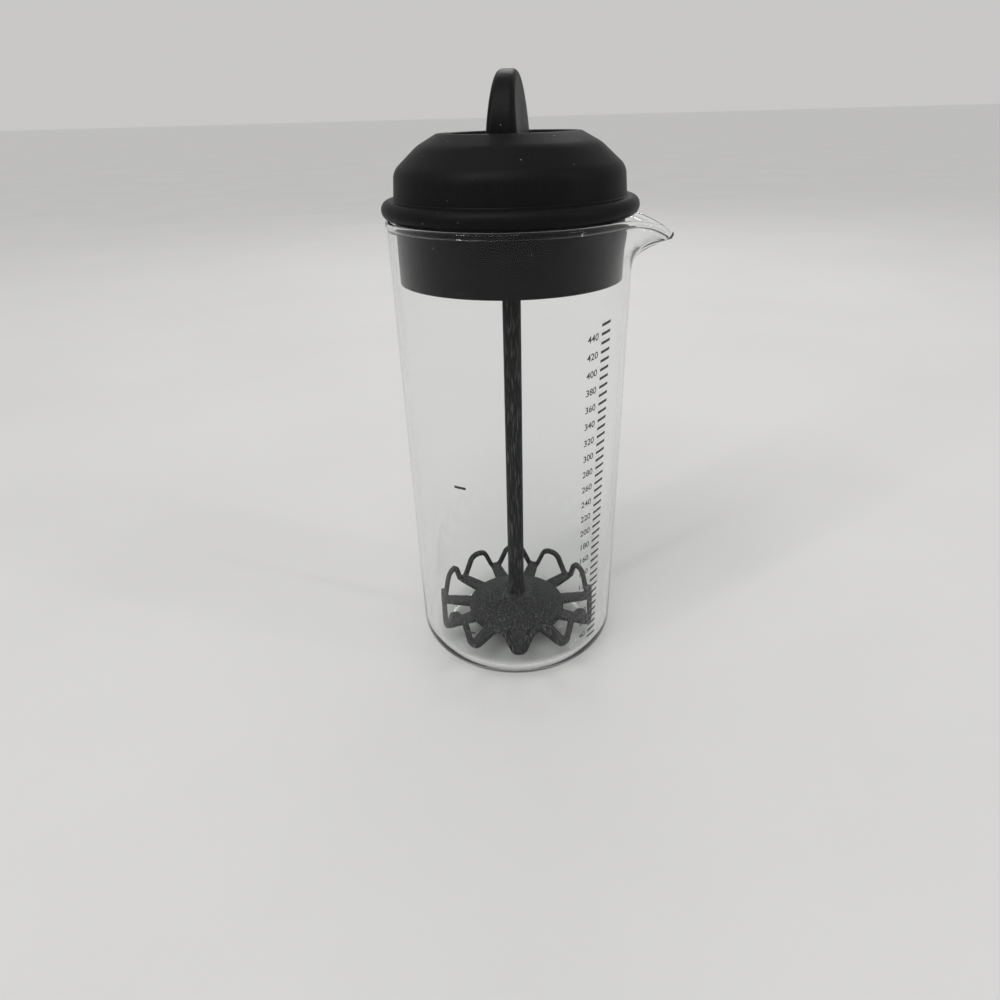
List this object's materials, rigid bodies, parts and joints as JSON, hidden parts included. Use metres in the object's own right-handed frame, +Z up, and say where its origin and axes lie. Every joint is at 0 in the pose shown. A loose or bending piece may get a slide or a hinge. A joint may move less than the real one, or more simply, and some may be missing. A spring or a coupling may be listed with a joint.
{
  "type": "salad dressing mixer bottle",
  "caption": "Tapered glass beaker with a pouring lip and a printed scale, closed by a plug-in lid whose pull-up rod carries a ring of open mixing petals.",
  "frame": {"origin": "centre of the beaker's flat underside, where it stands on the table", "axes": "+Z up along the beaker's axis, +X towards the pouring lip, -Y towards the front with the measuring scale"},
  "size_m": [0.0889, 0.0774, 0.1931],
  "materials": {
    "clear_glass": "clear, fire-polished",
    "lid_plastic": "fine matt texture",
    "handle_plastic": "satin",
    "rod_plastic": "satin, finely scratched",
    "head_plastic": "satin"
  },
  "bodies": {
    "glass": {"glass_beaker": "clear_glass"},
    "lid": {"lid": "lid_plastic"},
    "plunger": {"handle": "handle_plastic", "rod": "rod_plastic", "mixer_head": "head_plastic"}
  },
  "joints": [
    {"name": "lid_lift", "type": "slide", "parent": "glass", "child": "lid", "axis": [0, 0, 1], "range_m": [0, 0.15]},
    {"name": "plunger_pull", "type": "slide", "parent": "lid", "child": "plunger", "axis": [0, 0, 1], "range_m": [0, 0.125]}
  ]
}
